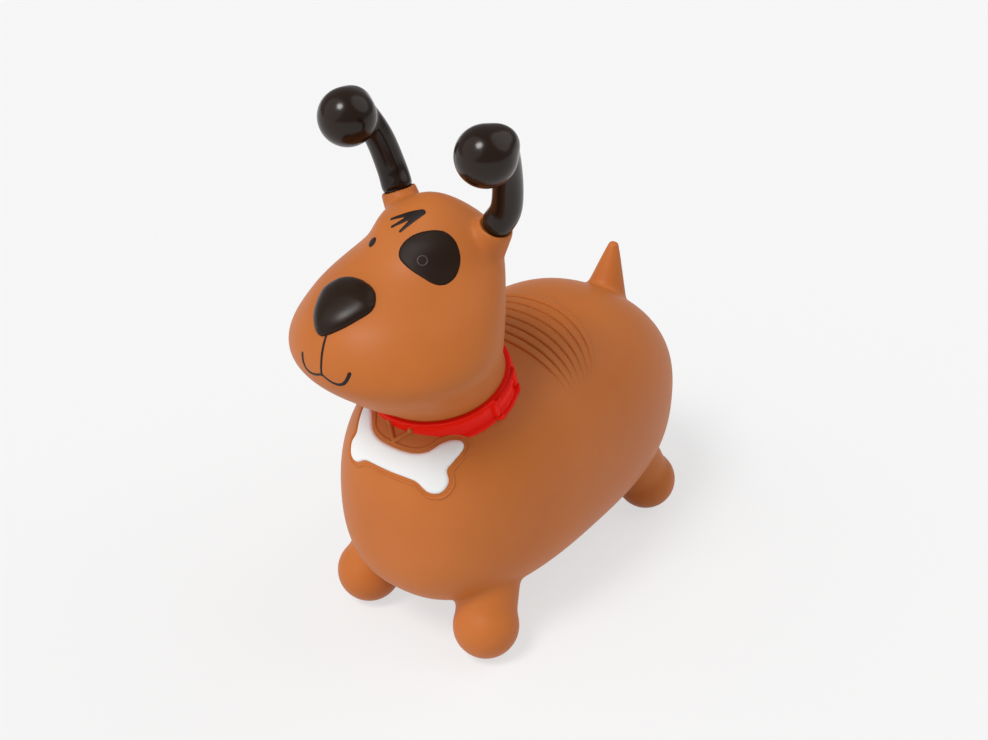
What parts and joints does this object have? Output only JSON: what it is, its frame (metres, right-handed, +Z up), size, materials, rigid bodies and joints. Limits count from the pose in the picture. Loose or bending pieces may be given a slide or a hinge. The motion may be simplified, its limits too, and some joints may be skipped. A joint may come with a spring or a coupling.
{
  "type": "animal hopper toy",
  "caption": "Air-filled dog-shaped bouncing toy a child sits astride, with bent knobbed ears as handles, ball feet, a moulded collar with a bone tag and a plugged air valve.",
  "frame": {"origin": "on the floor, below the middle of the whole toy's bounding box", "axes": "+Z up, -Y the way the dog looks, +X the dog's left side"},
  "size_m": [0.245, 0.4922, 0.5637],
  "materials": {
    "body_tan": "satin",
    "ear_dark": "gloss",
    "nose_dark": "gloss",
    "paint_dark": "satin",
    "collar_red": "satin",
    "bone_white": "satin",
    "valve_white": "satin"
  },
  "bodies": {
    "toy": {"body_skin": "body_tan", "collar_link": "body_tan", "nose": "nose_dark", "mouth_line": "paint_dark", "eye_patch": "paint_dark", "eye_left": "paint_dark", "eye_right": "paint_dark", "forehead_tuft": "paint_dark", "collar_band": "collar_red", "collar_buckle": "collar_red", "collar_prong": "collar_red", "collar_tip": "collar_red", "bone_tag": "bone_white", "valve_seat": "valve_white"},
    "ear_left": {"ear_left": "ear_dark"},
    "ear_right": {"ear_right": "ear_dark"},
    "valve_plug": {"valve_plug": "valve_white"}
  },
  "joints": [
    {"name": "ear_left_flex", "type": "hinge", "parent": "toy", "child": "ear_left", "pos_m": [0.06523, -0.08757, 0.4655], "axis": [0.9962, -0.0872, 0], "range_deg": [-10, 10], "stiffness_Nm_per_rad": 1},
    {"name": "ear_right_flex", "type": "hinge", "parent": "toy", "child": "ear_right", "pos_m": [-0.06384, -0.07627, 0.46552], "axis": [0.9962, -0.0872, 0], "range_deg": [-10, 10], "stiffness_Nm_per_rad": 1},
    {"name": "valve_plug_pull", "type": "slide", "parent": "toy", "child": "valve_plug", "axis": [0, 0.8192, -0.5736], "range_m": [0, 0.014]}
  ]
}
